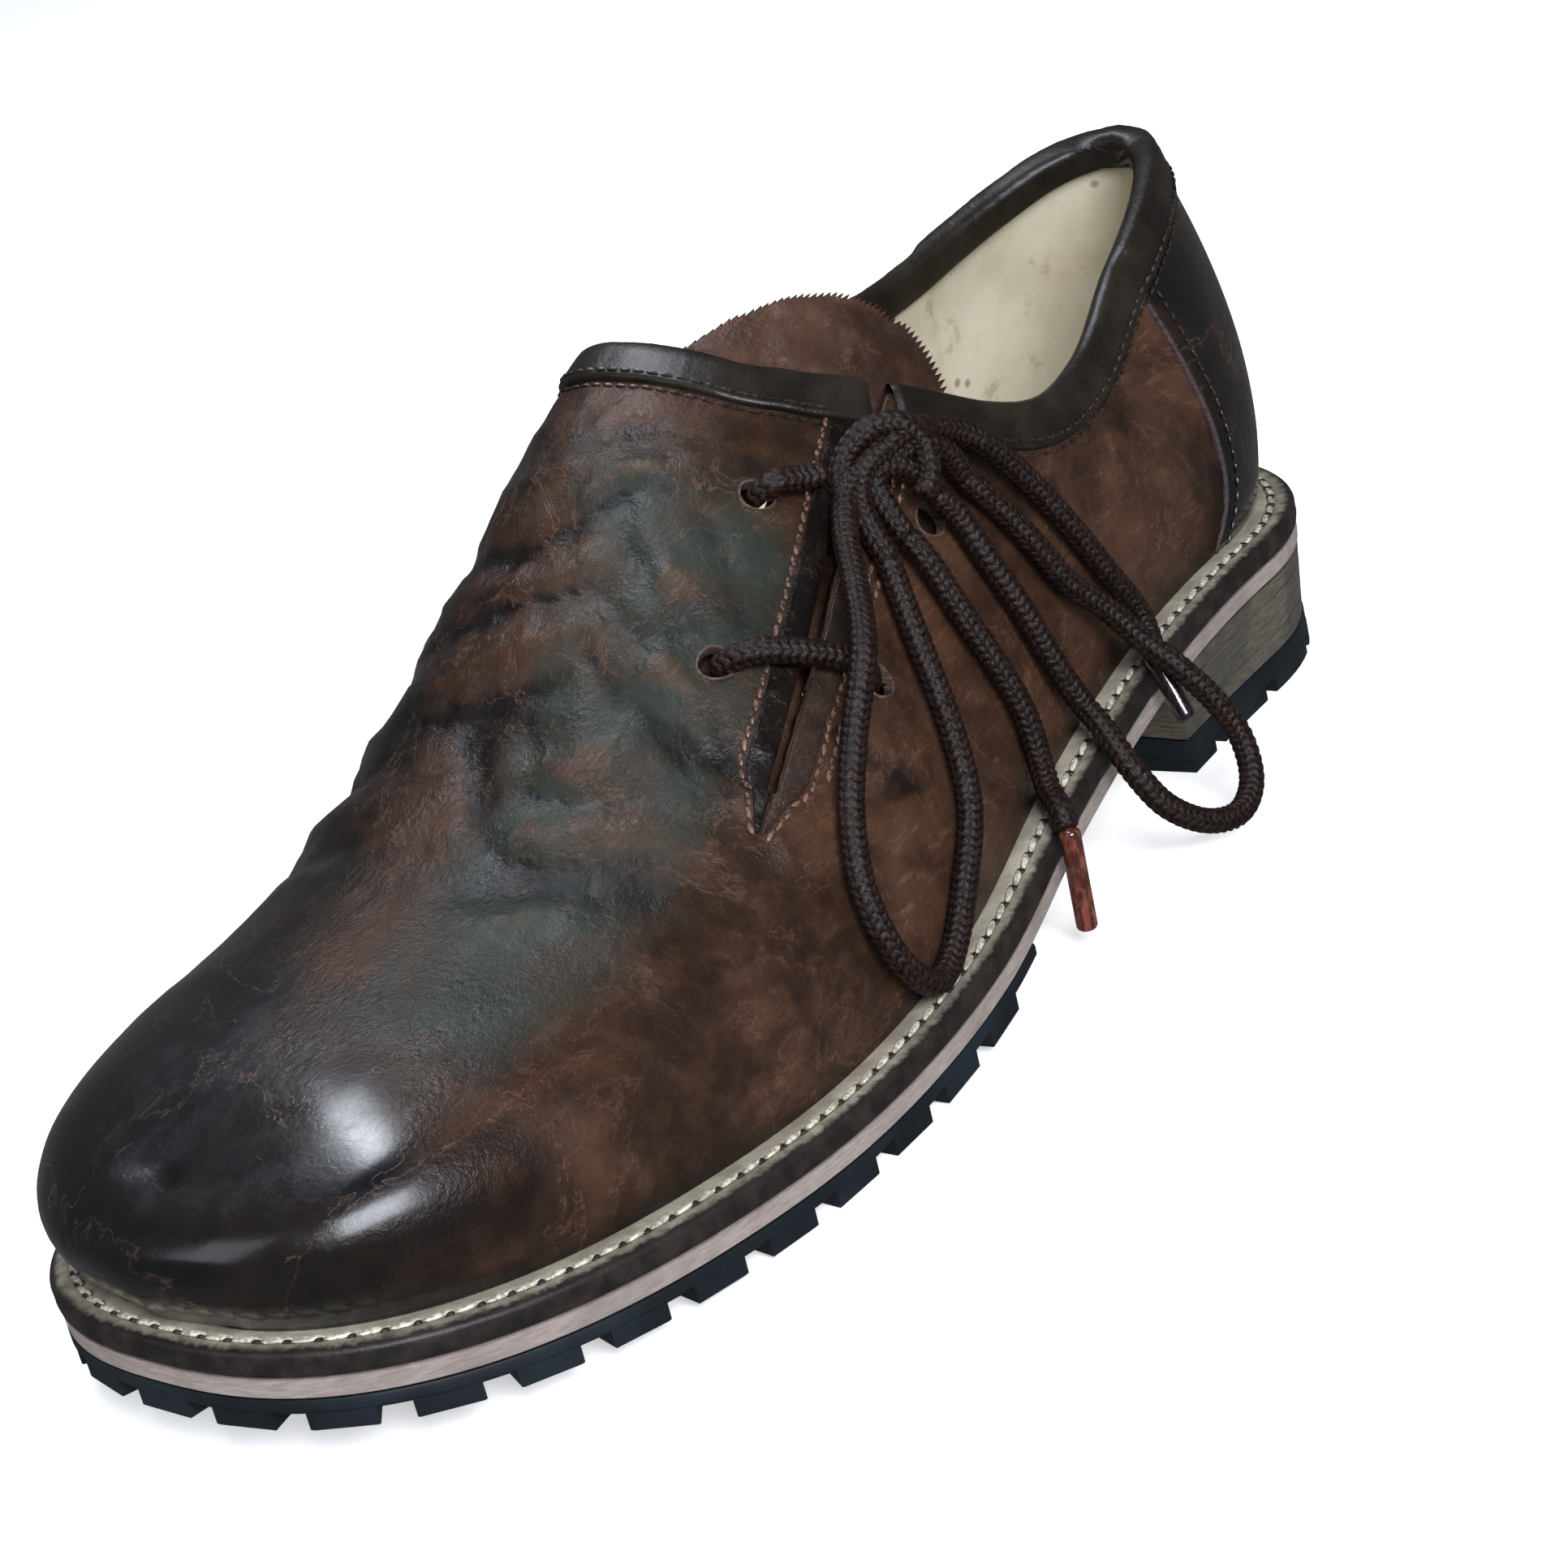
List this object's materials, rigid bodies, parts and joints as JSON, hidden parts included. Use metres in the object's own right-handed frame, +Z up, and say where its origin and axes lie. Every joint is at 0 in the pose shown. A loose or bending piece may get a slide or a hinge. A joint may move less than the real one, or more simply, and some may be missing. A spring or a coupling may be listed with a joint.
{
  "type": "traditional shoe",
  "caption": "Low side-laced leather shoe for the left foot, with a pinked tongue, stitched welt, leather heel and lugged rubber half sole.",
  "frame": {"origin": "on the floor, under the middle of the welt's length and width", "axes": "+X towards the toe, +Y towards the outer side of the foot (its left), +Z up"},
  "size_m": [0.3027, 0.1149, 0.1042],
  "materials": {
    "upper_leather": "glossy, creased, dark brown",
    "binding_leather": "satin, dark green-brown",
    "tongue_leather": "satin, creased brown",
    "insole_leather": "matte cream",
    "welt_leather": "satin natural, edges burnished dark",
    "midsole_leather": "matte pinkish taupe",
    "heel_leather": "matte stacked leather, grey-brown",
    "tread_rubber": "matte black",
    "lace_braid": "round braid, dark brown",
    "aglet_plastic": "gloss red-brown"
  },
  "bodies": {
    "root": {"upper": "upper_leather", "collar_binding": "binding_leather", "tongue": "tongue_leather", "insole": "insole_leather", "welt": "welt_leather", "midsole": "midsole_leather", "half_sole": "tread_rubber", "heel_stack": "heel_leather", "heel_lift": "tread_rubber", "lace_bar_lower": "lace_braid", "lace_bar_upper": "lace_braid", "lace_knot": "lace_braid", "lace_loop_front": "lace_braid", "lace_end_front": "lace_braid", "lace_loop_back": "lace_braid", "lace_end_back": "lace_braid", "aglet_front": "aglet_plastic", "aglet_back": "aglet_plastic"}
  },
  "joints": []
}
